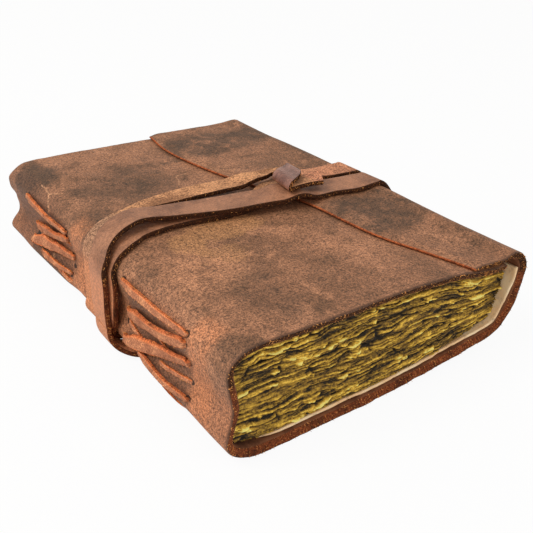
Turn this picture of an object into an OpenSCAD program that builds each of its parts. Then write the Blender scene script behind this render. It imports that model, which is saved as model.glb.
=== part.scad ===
// Leather journal closed by a wound strap, millimetres.
// x runs from the spine to the fore edge, y along the spine, z up.
// The near end is at low y. The book lies on its back cover.

/* [Book] */
// Length of the cover along the spine
journal_length = 180; // [150:1:220]
// Width from the spine to the fore edge at the near end
journal_width = 130; // [112:1:150]
// Thickness of the closed book at the near end
near_thickness = 42.7; // [38:0.1:50]
// Thickness of the closed book at the far end
far_thickness = 34.6; // [31:0.1:42]
// How much narrower the far end is
far_narrower = 3.4; // [0:0.1:6]

/* [Cover leather] */
// Thickness of the cover leather
leather = 3; // [2:0.1:3.6]
// Slope of the cut ends, grain side past flesh side
skive = 2.7; // [0.5:0.1:3.4]
// Thickness of the flap at its free edge
flap_edge = 1.8; // [1:0.1:2.4]
// Space between the flap and the front cover
flap_gap = 0.3; // [0.1:0.05:0.6]
// Fall of the front cover from spine to fore edge
front_fall = 2.8; // [1:0.1:4]
// Rise of the back cover at the fore edge, near end
back_rise = 4.2; // [1:0.1:6]

/* [Lining] */
// Thickness of the pale lining sheet
lining_thick = 1; // [0.5:0.1:1.4]
// Space between the lining and what it touches
lining_gap = 0.2; // [0.05:0.05:0.4]

/* [Pages] */
// How far the page ends stand back inside the cover
page_recess = 5; // [3.5:0.1:9]
// Height of the torn ridges on the page ends
page_tear = 1.6; // [0.4:0.1:2.4]
// Number of sewn page groups
page_groups = 11; // [6:1:14]
// Space round the page block
page_gap = 0.3; // [0.1:0.05:0.6]

/* [Lacing] */
// Thickness of the spine thongs
thong_thick = 1.2; // [0.8:0.1:1.4]
// Space between a thong and the cover
thong_gap = 0.25; // [0.15:0.05:0.4]
// Width of a thong where it goes through a hole
thong_neck = 0.6; // [0.5:0.1:0.8]
// Length of a hole in the spine
hole_length = 2.3; // [2:0.1:3]

/* [Strap] */
// Thickness of the strap
strap_thick = 1.8; // [1.4:0.1:2.2]
// Space between the strap's turns and the cover
strap_gap = 0.35; // [0.25:0.05:0.5]
// Width of the strap against its drawn width
strap_width = 1; // [0.8:0.01:1]

/* [Hidden] */
turn = strap_thick + strap_gap;
lift = strap_thick + 2 * strap_gap;
thong_room = thong_thick + 2 * thong_gap;
scale_y = journal_length / 180;
mid_width = journal_width - far_narrower * 0.45;
x_mid = (mid_width + turn - 1.4 - 2 * turn) / 2;
y_mid = journal_length / 2;

leather_colour = [0.52, 0.36, 0.27];
strap_colour = [0.60, 0.42, 0.31];
thong_colour = [0.72, 0.44, 0.29];
paper_colour = [0.62, 0.50, 0.26];
lining_colour = [0.82, 0.67, 0.50];

// Small helpers
function mix(a, b, t) = a + (b - a) * t;
function hold(t) = min(1, max(0, t));
function ease(t) = let (c = hold(t)) c * c * (3 - 2 * c);
function unit(p) = p / norm(p);
function flip(faces) = [for (f = faces) [for (i = [len(f) - 1:-1:0]) f[i]]];
function curve(p, u) =
  let (n = len(p) - 1, i = min(max(floor(u), 0), n - 1), t = u - i)
  let (a = p[max(i - 1, 0)], b = p[i], c = p[i + 1], d = p[min(i + 2, n)])
  0.5 * (2 * b + (c - a) * t + (2 * a - 5 * b + 4 * c - d) * t * t
    + (3 * b - a - 3 * c + d) * t * t * t);

// Size of the book at a place along the spine
function along(y) = hold(y / journal_length);
function wide(y) = journal_width - far_narrower * along(y);
function tall(y) = mix(near_thickness, far_thickness, along(y));

// Reach of the flap over the front cover, from the near end to the far end
flap_reach = [30.5, 35.6, 41.6, 43.4, 44.4, 48, 53, 56.8, 59.4, 59.4, 56.3];
function flap_x(y) =
  wide(y) - curve(flap_reach, along(y) * 10) * journal_width / 130;

// Top of the front cover
function front_z(x, y) =
  let (v = along(y), near = 1 - ease(v / 0.4), start = flap_x(y) - mix(3, 20, near))
  tall(y) - front_fall * x / wide(y)
    - mix(mix(1.9, 0.2, v), 4.6, near) * ease((x - start) / mix(mix(20, 45, v), 40, near));

// Thickness of the flap, thinner at its free edge
function flap_thick(x, y) =
  mix(flap_edge, leather, ease((x - flap_x(y)) / (wide(y) - 8 - flap_x(y))));
function flap_z(x, y) = front_z(x, y) + flap_gap + flap_thick(x, y);

// The book stands up on the strap in the middle of its length
function over_strap(y) =
  let (s = y / scale_y) ease((s - 34) / 18) * (1 - ease((s - 104) / 20));
function lifted(h, y) = lift * over_strap(y) * hold(1.15 - h / 0.4);

// Spine outline by height, for the near end and the far end
spine_h = [0.97, 0.92, 0.85, 0.77, 0.68, 0.59, 0.5, 0.42, 0.33, 0.25, 0.175, 0.11, 0.05];
spine_near = [3.5, -0.2, -2.2, -2.4, -1.6, -0.7, -0.05, -0.4, -1.4, -1.9, -1.6, 0.1, 3.4];
spine_far = [5.5, 2.8, 0.2, -0.1, 0.4, 1.9, 2.4, 2.9, 2.4, 0, -1.3, -0.8, 1.6];
function spine_pt(i, y) =
  let (h = spine_h[i])
  [mix(spine_near[i], spine_far[i], along(y)), h * tall(y) + lifted(h, y)];

// Underside of the back cover
function back_z(x, y) =
  let (w = wide(y))
  lifted(0, y) + mix(back_rise, 1.4, along(y)) * ease((x / w - 0.42) / 0.5);

// Fore edge outline by height
fore_in = [9, 4, 1.6, 0, 0, 3.6];
fore_in_far = [9, 4, 1.6, 0, 0, 1.4];
function corner_in(y) = mix(9, 6, along(y));
fore_near = [0.165, 0.325, 0.455, 0.61, 0.76, 0.885];
fore_far = [0.09, 0.235, 0.405, 0.56, 0.7, 0.88];
function fore_pt(i, y) =
  let (h = mix(fore_near[i], fore_far[i], along(y)))
  [wide(y) - mix(fore_in[i], fore_in_far[i], along(y)), h * tall(y) + lifted(h, y)];

// Outline of the cover's grain side at one place along the spine.
// It starts at the hidden edge of the front cover and ends at the flap's edge.
front_steps = 4;
flap_steps = 5;
function front_x(i, y) =
  let (w = wide(y), f = flap_x(y))
  i == 0 ? w - 12.5 : i == 1 ? mix(w - 12.5, f, 0.45) : i == 2 ? f + 4 : f - 5;
function outline(y) =
  let (w = wide(y), f = flap_x(y), c = w - corner_in(y))
  concat(
    [for (i = [0:3]) let (x = front_x(i, y)) [x, front_z(x, y)]],
    [for (i = [1:front_steps]) let (x = mix(f - 5, 16, i / front_steps)) [x, front_z(x, y)]],
    [[9, front_z(9, y) - 0.15]],
    [for (i = [0:12]) spine_pt(i, y)],
    [[mix(8.4, 7.6, along(y)), 0.5 + lifted(0, y)]],
    [for (x = [15, 28, 45, 62, 80]) [x * w / 130, back_z(x * w / 130, y)]],
    [[w - 33, back_z(w - 33, y)], [w - 20, back_z(w - 20, y) + 0.3]],
    [for (i = [0:5]) fore_pt(i, y)],
    [[c, flap_z(c, y) + mix(1.2, 0.2, hold(along(y) * 2.5))]],
    [for (i = [1:flap_steps]) let (x = mix(c, f, i / flap_steps)) [x, flap_z(x, y)]]
  );
first_spine = 4 + front_steps + 1;
first_back = first_spine + 13;
first_fore = first_back + 8;
first_flap = first_fore + 6;
last_u = first_flap + flap_steps;

// Outward direction of an outline
function outward(p, u) =
  let (d = curve(p, min(u + 0.05, len(p) - 1)) - curve(p, max(u - 0.05, 0)))
  unit([d[1], -d[0]]);
// Thickness of the cover at a place on its outline
function thick_at(p, u, y) =
  u < first_flap ? leather : flap_thick(curve(p, u)[0], y);
function inside(p, u, y, more = 0) =
  curve(p, u) - outward(p, u) * (thick_at(p, u, y) + more);

// Places along the spine where the outline is drawn
holes_near = [23, 65, 54];
holes_far = [115, 154, 143];
function hole_rows(c) = [c * scale_y - hole_length / 2, c * scale_y + hole_length / 2];
rows = concat(
  [0, 5, 13], hole_rows(23), [33, 43], hole_rows(54), [60], hole_rows(65),
  [73, 81, 90, 99, 108], hole_rows(115), [129], hole_rows(143), [148.5],
  hole_rows(154), [165, 174, 180]);
row_y = [for (i = [0:len(rows) - 1])
  (i == 0 || i == len(rows) - 1) ? (i == 0 ? 0 : journal_length)
    : rows[i] * (rows[i] == floor(rows[i]) ? scale_y : 1)];
row_n = len(row_y);
sub = 2;
u_list = [for (i = [0:last_u * sub]) i / sub];
u_n = len(u_list);

// Each hole is one cell of the grid: [row, place on the outline]
function row_of(c) = [for (i = [0:row_n - 1])
  if (abs(row_y[i] - (c * scale_y - hole_length / 2)) < 0.01) i][0];
function u_of(h) = first_spine + lookup(h, [for (i = [12:-1:0]) [spine_h[i], i]]);
function cell_of(h) = floor(u_of(h) * sub);
function cell_u(h) = (cell_of(h) + 0.5) / sub;

// Lacing courses: [left place, left height, right place, right height, width]
near_course = [
  [65, 0.85, 23, 0.87, 2.6],
  [65, 0.52, 23, 0.79, 5],
  [65, 0.24, 23, 0.6, 4.4],
  [54, 0.23, 23, 0.28, 2.2]];
far_course = [
  [154, 0.83, 115, 0.79, 2.4],
  [154, 0.45, 115, 0.7, 4.2],
  [154, 0.28, 115, 0.5, 4.2],
  [143, 0.23, 115, 0.26, 2]];
courses = concat(near_course, far_course);
holes = concat(
  [for (c = courses) [row_of(c[0]), cell_of(c[1])]],
  [for (c = courses) [row_of(c[2]), cell_of(c[3])]]);
function is_hole(k, m) = len([for (h = holes) if (h[0] == k && h[1] == m) 1]) > 0;

function grid_at(k, side) =
  let (y = row_y[k], edge = skive)
  let (yy = side == 0 ? y : k == 0 ? edge : k == row_n - 1 ? y - edge : y)
  let (p = outline(yy))
  [for (u = u_list) let (q = side == 0 ? curve(p, u) : inside(p, u, yy)) [q[0], yy, q[1]]];

module cover() {
  outer = [for (k = [0:row_n - 1]) each grid_at(k, 0)];
  inner = [for (k = [0:row_n - 1]) each grid_at(k, 1)];
  half = len(outer);
  skin = [for (k = [0:row_n - 2], m = [0:u_n - 2]) if (!is_hole(k, m))
    each let (a = k * u_n + m, b = a + 1, c = a + u_n, d = c + 1)
    [[a, c, b], [b, c, d], [a + half, b + half, c + half], [b + half, d + half, c + half]]];
  walls = [for (h = holes)
    each let (a = h[0] * u_n + h[1], b = a + 1, c = a + u_n, d = c + 1)
    [[a, a + half, b], [b, a + half, b + half], [b, b + half, d], [d, b + half, d + half],
     [d, d + half, c], [c, d + half, c + half], [c, c + half, a], [a, c + half, a + half]]];
  last = (row_n - 1) * u_n;
  ends = [for (m = [0:u_n - 2]) each
    [[m, m + 1, m + half], [m + 1, m + 1 + half, m + half],
     [last + m, last + m + half, last + m + 1],
     [last + m + 1, last + m + half, last + m + 1 + half]]];
  sides = [for (k = [0:row_n - 2])
    each let (a = k * u_n, c = a + u_n, b = a + u_n - 1, d = b + u_n)
    [[a, a + half, c], [c, a + half, c + half], [b, d, b + half], [d, d + half, b + half]]];
  color(leather_colour)
    polyhedron(points = concat(outer, inner), faces = flip(concat(skin, walls, ends, sides)), convexity = 10);
}

// A closed solid from rings of points, one ring for each place
function ring_sides(n, m) =
  [for (k = [0:n - 2], i = [0:m - 1])
    each let (a = k * m + i, b = k * m + (i + 1) % m)
    [[a, a + m, b], [b, a + m, b + m]]];
function ring_faces(n, m) = concat(
  [[for (i = [0:m - 1]) i]],
  ring_sides(n, m),
  [[for (i = [m - 1:-1:0]) (n - 1) * m + i]]);

// Lining sheet: it lies in the back cover and turns up the fore edge wall
lining_from = first_back + 0.5;
lining_to = first_fore + 4;
lining_cells = (lining_to - lining_from) * sub;
lining_rows = [for (y = row_y) min(max(y, skive + 0.2), journal_length - skive - 0.2)];
function lining_d(f) = lining_gap + lining_thick * hold(0.25 + f * 6);
module lining() {
  pts = [for (y = lining_rows) each
    let (p = outline(y), u = [for (i = [0:lining_cells]) mix(lining_from, lining_to, i / lining_cells)])
    concat(
      [for (i = [0:lining_cells]) let (q = inside(p, u[i], y, lining_gap)) [q[0], y, q[1]]],
      [for (i = [lining_cells:-1:0])
        let (q = inside(p, u[i], y, lining_d(i / lining_cells))) [q[0], y, q[1]]])];
  m = 2 * (lining_cells + 1);
  last = (len(lining_rows) - 1) * m;
  caps = [for (i = [0:lining_cells - 1]) each let (a = i, b = i + 1, c = m - 1 - i, d = m - 2 - i)
    [[a, b, c], [b, d, c], [last + a, last + c, last + b], [last + b, last + c, last + d]]];
  color(lining_colour)
    polyhedron(points = pts, faces = flip(concat(ring_sides(len(lining_rows), m), caps)), convexity = 6);
}

// Page block: one solid with torn, uneven ends
page_nx = 28;
page_nz = 37;
page_rows = [0, 0.1, 0.25, 0.4, 0.5, 0.6, 0.75, 0.9, 1];
page_clear = lining_gap * 2 + lining_thick + page_gap;
function page_left(f, y) =
  let (i = mix(10.6, 2.4, f), p = [for (k = [0:12]) spine_pt(k, y)])
  curve(p, i)[0] + leather + thong_room + page_gap + 1.7;
function page_right(f, y) =
  let (i = mix(0.75, 4.6, f), p = [for (k = [0:5]) fore_pt(k, y)])
  curve(p, i)[0] - leather - page_clear - mix(4.2, 1.4, hold(f * 5)) - 3.2 * ease((f - 0.8) / 0.2);
function page_pt(i, j, y) =
  let (f = j / page_nz)
  let (x = mix(page_left(f, y), page_right(f, y), i / page_nx))
  let (low = back_z(x, y) + leather + page_clear + 0.25
    + 1.6 * (1 - ease((x - 4) / 9)) + 1.2 * ease((x - wide(y) + 25) / 14))
  let (high = front_z(x, y) - leather - page_gap - 0.15 - 1.8 * (1 - ease((x - 4) / 9)))
  [x, mix(low, high, f)];
function wave(i, j) =
  0.35 * sin(i * 41 + j * 63) + 0.3 * sin(i * 97 - j * 31) + 0.35 * sin(i * 17 + j * 131);
function tear(i, j) =
  let (g = page_groups * (j / page_nz + 0.014 * sin(i * 23) + 0.01 * sin(i * 61 + 40)))
  page_tear * (0.5 + 0.32 * cos(360 * g) + 0.18 * wave(i, j));
function page_y(i, j, s) =
  let (a = page_recess + page_tear - tear(i, j))
  let (b = journal_length - page_recess - page_tear + tear(j + 5, i + 9) * 0 + tear(i + 13, j))
  mix(a, b, s);
module page_block() {
  m = 2 * (page_nx + page_nz);
  edge = concat(
    [for (i = [0:page_nx - 1]) [i, 0]], [for (j = [0:page_nz - 1]) [page_nx, j]],
    [for (i = [page_nx:-1:1]) [i, page_nz]], [for (j = [page_nz:-1:1]) [0, j]]);
  function at(i, j, s) =
    let (y = page_y(i, j, s), q = page_pt(i, j, mix(page_recess, journal_length - page_recess, s)))
    [q[0], y, q[1]];
  sides = [for (s = page_rows, e = edge) at(e[0], e[1], s)];
  rings = len(page_rows);
  near = [for (j = [1:page_nz - 1], i = [1:page_nx - 1]) at(i, j, 0)];
  far = [for (j = [1:page_nz - 1], i = [1:page_nx - 1]) at(i, j, 1)];
  base_n = len(sides);
  base_f = base_n + len(near);
  function edge_no(i, j) =
    j == 0 ? (i < page_nx ? i : page_nx)
      : i == page_nx ? page_nx + j
      : j == page_nz ? page_nx + page_nz + (page_nx - i)
      : 2 * page_nx + page_nz + (page_nz - j);
  function on_edge(i, j) = i == 0 || j == 0 || i == page_nx || j == page_nz;
  function id_n(i, j) = on_edge(i, j) ? edge_no(i, j) % m : base_n + (j - 1) * (page_nx - 1) + i - 1;
  function id_f(i, j) = on_edge(i, j) ? (rings - 1) * m + edge_no(i, j) % m
    : base_f + (j - 1) * (page_nx - 1) + i - 1;
  walls = [for (k = [0:rings - 2], i = [0:m - 1])
    each let (a = k * m + i, b = k * m + (i + 1) % m) [[a, a + m, b], [b, a + m, b + m]]];
  near_f = [for (j = [0:page_nz - 1], i = [0:page_nx - 1])
    each [[id_n(i, j), id_n(i + 1, j), id_n(i, j + 1)],
      [id_n(i + 1, j), id_n(i + 1, j + 1), id_n(i, j + 1)]]];
  far_f = [for (j = [0:page_nz - 1], i = [0:page_nx - 1])
    each [[id_f(i, j), id_f(i, j + 1), id_f(i + 1, j)],
      [id_f(i + 1, j), id_f(i, j + 1), id_f(i + 1, j + 1)]]];
  color(paper_colour)
    polyhedron(points = concat(sides, near, far), faces = flip(concat(walls, near_f, far_f)), convexity = 10);
}

// A strip drawn through stations: [centre, half width vector, half thickness vector]
function strip_ring(s) =
  let (c = s[0], w = s[1], n = s[2])
  [c - w * 0.86 - n, c + w * 0.86 - n, c + w - n * 0.5, c + w + n * 0.5,
   c + w * 0.86 + n, c - w * 0.86 + n, c - w + n * 0.5, c - w - n * 0.5];
module strip(st) {
  polyhedron(points = [for (s = st) each strip_ring(s)], faces = ring_faces(len(st), 8), convexity = 10);
}

// One course of a lacing outside the spine, from a left hole to a right hole
function spine_at(u, y, d) =
  let (p = outline(y), q = curve(p, u) + outward(p, u) * d) [q[0], y, q[1]];
function spine_out(u, y) = let (n = outward(outline(y), u)) [n[0], 0, n[1]];
function station(u, y, d, w, turned) =
  let (n = spine_out(u, y), e = unit([n[2], 0, -n[0]]))
  let (t = unit(n * cos(turned) + [0, 1, 0] * sin(turned)))
  [spine_at(u, y, d), e * w / 2, t * thong_thick / 2];
function run_out(c) =
  let (ua = cell_u(c[1]), ub = cell_u(c[3]), ya = c[0] * scale_y, yb = c[2] * scale_y)
  let (d = thong_gap + thong_thick / 2, n = 9)
  concat(
    [station(ua, ya, -leather * 0.5, thong_neck, 90), station(ua, ya, 0, thong_neck, 90),
     station(ua, ya - 0.25, d, thong_neck * 1.1, 50)],
    [for (i = [0:n]) let (f = i / n, y = mix(ya - 1.8, yb + 1.8, f))
      station(mix(ua, ub, f), y, d + 0.9 * sin(180 * f),
        mix(mix(c[4], c[4] * 0.5, f), thong_neck * 1.5, pow(abs(2 * f - 1), 6)), 0)],
    [station(ub, yb + 0.25, d, thong_neck * 1.1, -50), station(ub, yb, 0, thong_neck, -90),
     station(ub, yb, -leather * 0.5, thong_neck, -90)]);
function run_in(a, b) =
  let (ua = cell_u(a[3]), ub = cell_u(b[1]), ya = a[2] * scale_y, yb = b[0] * scale_y)
  let (d = -leather - thong_gap - thong_thick / 2, n = 6)
  concat(
    [station(ua, ya, -leather, thong_neck, -90), station(ua, ya + 0.25, d, thong_neck, -130)],
    [for (i = [0:n]) let (f = i / n, y = mix(ya + 1.6, yb - 1.6, f))
      station(mix(ua, ub, f), y, d, thong_neck * 1.4, -180)],
    [station(ub, yb - 0.25, d, thong_neck, -230), station(ub, yb, -leather, thong_neck, -270)]);
function lacing(c) = [for (i = [0:len(c) - 1]) each
  concat(run_out(c[i]), i < len(c) - 1 ? run_in(c[i], c[i + 1]) : [
    station(cell_u(c[i][3]), c[i][2] * scale_y, -leather - thong_gap, thong_neck, -90)])];
module near_lacing() {
  color(thong_colour) strip(lacing(near_course));
}
module far_lacing() {
  color(thong_colour) strip(lacing(far_course));
}

// Loop that the strap follows round the closed book, in steps from the fore edge top
function top_z(x, y) =
  front_z(x, y) + (flap_gap + flap_thick(max(x, flap_x(y)), y)) * ease((x - flap_x(y) + 12) / 9);
top_in = [20, 31, 42, 52, 64, 78, 92, 105];
loop_n = 34;
spine_top = 15;
spine_low = 19;
loop_u = [
  [10, first_spine - 2], [spine_top, first_spine + 3], [spine_low, first_spine + 9],
  [22, first_spine + 12], [23, first_back], [24, first_back + 1.25], [25, first_back + 2.7],
  [26, first_back + 4.2], [27, first_back + 5.6], [28, first_back + 7], [34, first_flap - 1]];
function loop_at(a, y) =
  let (b = a - loop_n * floor(a / loop_n), w = wide(y), s = w / 130, p = outline(y))
  b <= 1 ? curve(p, first_flap - 1 + b)
    : b < 10 ? let (inset = concat([corner_in(y) / s], top_in))
      let (x = b < 9 ? w - s * curve(inset, b - 1) : mix(w - s * 105, 16, b - 9)) [x, top_z(x, y)]
    : b > spine_top && b < spine_low
      ? mix(spine_pt(3, y), spine_pt(9, y), (b - spine_top) / (spine_low - spine_top))
    : curve(p, lookup(b, loop_u));
function loop_out(a, y) =
  let (d = loop_at(a + 0.25, y) - loop_at(a - 0.25, y)) unit([d[1], -d[0]]);

// Course of the strap: [place on the loop, place along the spine, layer, width]
course = [
  [4.5, 98.2, 2.6, 5], [5, 98.6, 2.3, 8], [6, 100.4, 2.2, 10.5], [7, 100.6, 2.15, 10.6],
  [8, 100.6, 1.9, 10.2], [9, 101, 1.4, 7.6], [10, 98.4, 1, 9], [11, 95.2, 1, 9.6],
  [12, 93.4, 1, 9.4], [13, 91.8, 1, 9.4], [15, 89.6, 1, 9.5], [19, 90.4, 1, 9.5],
  [22, 91.2, 1, 9.8], [24, 91.2, 1, 10.8], [28, 92, 1, 12.5], [31, 92.3, 1, 13],
  [34, 92.2, 1, 13], [35, 92, 1, 13], [36, 93.2, 1, 12.4], [37, 95.4, 1, 12], [38, 92.8, 1, 12],
  [38.5, 91, 1, 12], [39, 89.2, 1, 12], [40, 85.4, 1, 12], [41, 83.8, 1, 12], [42, 85.5, 1, 11.4],
  [43, 85.2, 1, 11], [44, 83.2, 1, 10.6], [45, 79.6, 1, 10.5], [46, 77.4, 1, 10.5],
  [47, 76.8, 1, 10.8], [49, 74.9, 1, 10.8], [52, 75.4, 1, 10.6], [54, 77, 1, 10.2],
  [56, 79.5, 1, 10], [58, 78.4, 1, 11], [62, 74.6, 1, 12.4], [65, 76, 1, 12], [68, 76.6, 1, 12],
  [69, 76.8, 1.05, 12.6], [70, 77.4, 1, 14.6], [71, 79.2, 1, 13.8], [72, 77.8, 1.3, 13.8],
  [72.5, 78.4, 1.9, 14], [73, 79.8, 2.05, 14.4], [74, 82.3, 2.1, 15], [75, 84, 2.1, 14.8],
  [76, 86.3, 2.2, 13], [77, 87.3, 2.5, 11.5], [78, 88, 2.8, 11.5], [79, 85.2, 2.85, 11.5],
  [80, 83, 2.6, 11.5], [81, 80.6, 2.4, 11.5], [82, 78, 2.2, 11.5], [84, 77.9, 2.15, 11.5],
  [85, 77.8, 2.15, 11.4], [86, 77.3, 2.15, 11.3], [87, 76.2, 2.2, 11.2], [88, 74.3, 2.2, 11],
  [89, 71.7, 2.1, 10.8], [90, 68.5, 1.65, 10.6], [91, 65.8, 1.05, 10.4], [92, 63.8, 1, 10.4],
  [93, 62.6, 1, 10.3], [94, 62.2, 1, 10]];
function layer_d(n) = strap_gap + strap_thick / 2 + (n - 1) * turn;
function course_pt(a, y, d) =
  let (o = loop_out(a, y), q = loop_at(a, y) + o * d) [q[0], y, q[1]];
function course_station(t) =
  let (k = curve(course, t), y = k[1] * scale_y, d = layer_d(k[2]), half = k[3] * strap_width / 2)
  let (far = course_pt(k[0], y + half, d), near = course_pt(k[0], y - half, d))
  let (o = loop_out(k[0], y))
  [(far + near) / 2, (far - near) / 2, [-o[0], 0, -o[1]] * strap_thick / 2];

// Knot: [x, y, layer, half width in x, half width in y, turn of the strip]
knot = [
  [96.4, 78.6, 3.2, 3.6, 5.6, 0], [93, 78.4, 3.2, 2.4, 5.2, 0], [89, 78.2, 3.2, 0.8, 4.6, 0],
  [84, 78.2, 3.2, 0.3, 5, 0], [80, 78.6, 3.2, 0.6, 6.2, 0], [77.8, 78.9, 3.2, 0.9, 6.8, 0],
  [76.85, 79, 3.383, 1, 6.9, 45], [76.46, 79.1, 3.825, 1, 7, 90], [76.85, 79.3, 4.267, 1, 7, 135],
  [77.8, 79.7, 4.45, 1, 7, 180], [79.8, 80.9, 4.42, 1, 7, 180], [82.4, 82.3, 4.38, 1, 6.7, 180],
  [85.2, 84, 4.42, 0.8, 6.3, 180], [87.2, 86, 4.45, 0.6, 5.7, 180],
  [88.15, 87.2, 4.267, 0.45, 5, 225], [88.54, 88.4, 3.825, 0.4, 4.4, 270],
  [88.15, 89.4, 3.383, 0.4, 3.9, 315], [87.2, 90.6, 3.2, 0.5, 3.5, 360],
  [86, 92.4, 3.05, 0.7, 3.1, 360], [84.6, 94.4, 2.85, 0.6, 2.7, 360]];
slope = (near_thickness - far_thickness) / journal_length;
function knot_station(k) =
  let (x = k[0] * wide(80 * scale_y) / 128.5, y = (k[1] + 2) * scale_y)
  let (w = [k[3], k[4], -slope * k[4]], n = [-sin(k[5]), 0, -cos(k[5])])
  [[x, y, top_z(x, y) + layer_d(k[2])], w, unit(n) * strap_thick / 2];
course_no = [for (i = [0:len(course) - 1]) [course[i][0], i]];
module strap() {
  turns = [for (a = [4.5:0.5:94]) course_station(lookup(a, course_no))];
  tied = [for (k = [0:2 * (len(knot) - 1)]) knot_station(curve(knot, k / 2))];
  color(strap_colour) strip(concat(tied, turns));
}

translate([-x_mid, -y_mid, 0]) {
  cover();
  lining();
  page_block();
  near_lacing();
  far_lacing();
  strap();
}
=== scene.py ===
"""Leather journal closed by a wound strap: the looks, in metres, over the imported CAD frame.

The shapes are worked out in millimetres from the same outline as the CAD source,
with x from the spine to the fore edge, y along the spine and z up, and are then
moved to the frame. The near end, with the torn page ends, is at low y.
"""
import itertools
import math

import bpy
import numpy as np
from mathutils import Matrix, Vector


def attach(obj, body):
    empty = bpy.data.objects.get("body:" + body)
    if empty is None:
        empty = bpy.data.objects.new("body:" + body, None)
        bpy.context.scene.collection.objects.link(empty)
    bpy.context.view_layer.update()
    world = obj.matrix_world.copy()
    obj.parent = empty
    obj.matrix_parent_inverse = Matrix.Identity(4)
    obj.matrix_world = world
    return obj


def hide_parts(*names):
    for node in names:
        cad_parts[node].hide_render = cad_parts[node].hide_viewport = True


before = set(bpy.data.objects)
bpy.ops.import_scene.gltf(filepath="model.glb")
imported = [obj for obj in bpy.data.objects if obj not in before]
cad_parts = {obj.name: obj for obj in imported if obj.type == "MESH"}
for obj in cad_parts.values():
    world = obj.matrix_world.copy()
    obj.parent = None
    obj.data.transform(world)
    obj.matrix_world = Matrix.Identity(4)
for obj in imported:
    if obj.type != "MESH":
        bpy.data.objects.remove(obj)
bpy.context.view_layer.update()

# Sizes of the book, as in the CAD source, in millimetres
LENGTH = 180.0
WIDTH = 130.0
NEAR_THICK = 42.7
FAR_THICK = 34.6
FAR_NARROWER = 3.4
LEATHER = 3.0
SKIVE = 2.7
FLAP_EDGE = 1.8
FLAP_GAP = 0.3
FRONT_FALL = 2.8
BACK_RISE = 4.2
LINING = 1.0
LINING_GAP = 0.2
PAGE_RECESS = 4.6
PAGE_GAP = 0.3
THONG = 1.2
THONG_GAP = 0.25
THIN_THONG = 0.8
STRAP = 1.8
STRAP_GAP = 0.35
TURN = STRAP + STRAP_GAP
LIFT = STRAP + 2 * STRAP_GAP
FIBRE = 0.13          # half thickness of a loose fibre at its foot
COVER_FIBRES = 1500
STRAP_FIBRES = 2600
FIBRES_A_STATION = 14
MARK_SHIFT = 0.275    # from the places of the marks to the middle of the frame
X_MID = (WIDTH - FAR_NARROWER * 0.45 - 1.4 - TURN) / 2
Y_MID = LENGTH / 2


# ---------------------------------------------------------------- small helpers

def mix(a, b, t):
    return a + (b - a) * t


def hold(t):
    return np.clip(t, 0.0, 1.0)


def ease(t):
    c = hold(t)
    return c * c * (3 - 2 * c)


def unit(v):
    return v / np.maximum(np.linalg.norm(v, axis=-1, keepdims=True), 1e-9)


def curve(points, u):
    """Smooth curve through points, at places counted in points from the first one."""
    points = np.asarray(points, float)
    u = np.asarray(u, float)
    n = len(points) - 1
    i = np.clip(np.floor(u).astype(int), 0, n - 1)
    t = u - i
    a, b = points[np.maximum(i - 1, 0)], points[i]
    c, d = points[i + 1], points[np.minimum(i + 2, n)]
    t = t.reshape(t.shape + (1,) * (b.ndim - t.ndim))
    return 0.5 * (2 * b + (c - a) * t + (2 * a - 5 * b + 4 * c - d) * t * t
                  + (3 * b - a - 3 * c + d) * t ** 3)


def curve_each(points, u):
    """One place on each of several curves: points is (points, curves, 2), u one place a curve."""
    n, s = len(points) - 1, np.arange(points.shape[1])
    i = np.clip(np.floor(u).astype(int), 0, n - 1)
    t = (u - i)[:, None]
    a, b = points[np.maximum(i - 1, 0), s], points[i, s]
    c, d = points[i + 1, s], points[np.minimum(i + 2, n), s]
    return 0.5 * (2 * b + (c - a) * t + (2 * a - 5 * b + 4 * c - d) * t * t
                  + (3 * b - a - 3 * c + d) * t ** 3)


def lumps(seed, *places):
    """Smooth noise from -1 to 1. Places are counted in lumps, along one to three directions."""
    places = np.broadcast_arrays(*[np.asarray(p, float) for p in places])
    cells = [np.floor(p).astype(np.int64) for p in places]
    parts = [ease(p - c) for p, c in zip(places, cells)]
    total = 0.0
    for corner in itertools.product((0, 1), repeat=len(places)):
        number = np.full(places[0].shape, seed * 7919 + 17, np.int64)
        weight = 1.0
        for cell, part, step, prime in zip(cells, parts, corner, (73856093, 19349663, 83492791)):
            number = number ^ ((cell + step) * prime)
            weight = weight * (part if step else 1 - part)
        number = (number ^ (number >> 13)) * 1274126177 & 0x7FFFFFFF
        number = (number ^ (number >> 11)) & 0xFFFF
        total = total + weight * (number / 32767.5 - 1)
    return total


def rough(seed, *places, layers=3, keep=0.5):
    """Several sizes of lumps on top of each other."""
    total, size = 0.0, 1.0
    for layer in range(layers):
        total = total + size * lumps(seed + 31 * layer, *[np.asarray(p) * 2.1 ** layer for p in places])
        size *= keep
    return total


# ------------------------------------------------------------- outline of the cover

def along(y):
    return hold(y / LENGTH)


def wide(y):
    return WIDTH - FAR_NARROWER * along(y)


def tall(y):
    return mix(NEAR_THICK, FAR_THICK, along(y))


FLAP_REACH = [30.5, 35.6, 41.6, 43.4, 44.4, 48, 53, 56.8, 59.4, 59.4, 56.3]


def flap_x(y):
    """Where the flap's free edge lies, from the spine."""
    return wide(y) - curve(FLAP_REACH, along(y) * 10) * WIDTH / 130


def front_z(x, y):
    """Outer face of the front cover, which sinks a little under the flap."""
    v = along(y)
    near = 1 - ease(v / 0.4)
    start = flap_x(y) - mix(3, 20, near)
    return (tall(y) - FRONT_FALL * x / wide(y)
            - mix(mix(1.9, 0.2, v), 4.6, near) * ease((x - start) / mix(mix(20, 45, v), 40, near)))


def flap_thick(x, y):
    return mix(FLAP_EDGE, LEATHER, ease((x - flap_x(y)) / (wide(y) - 8 - flap_x(y))))


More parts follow.
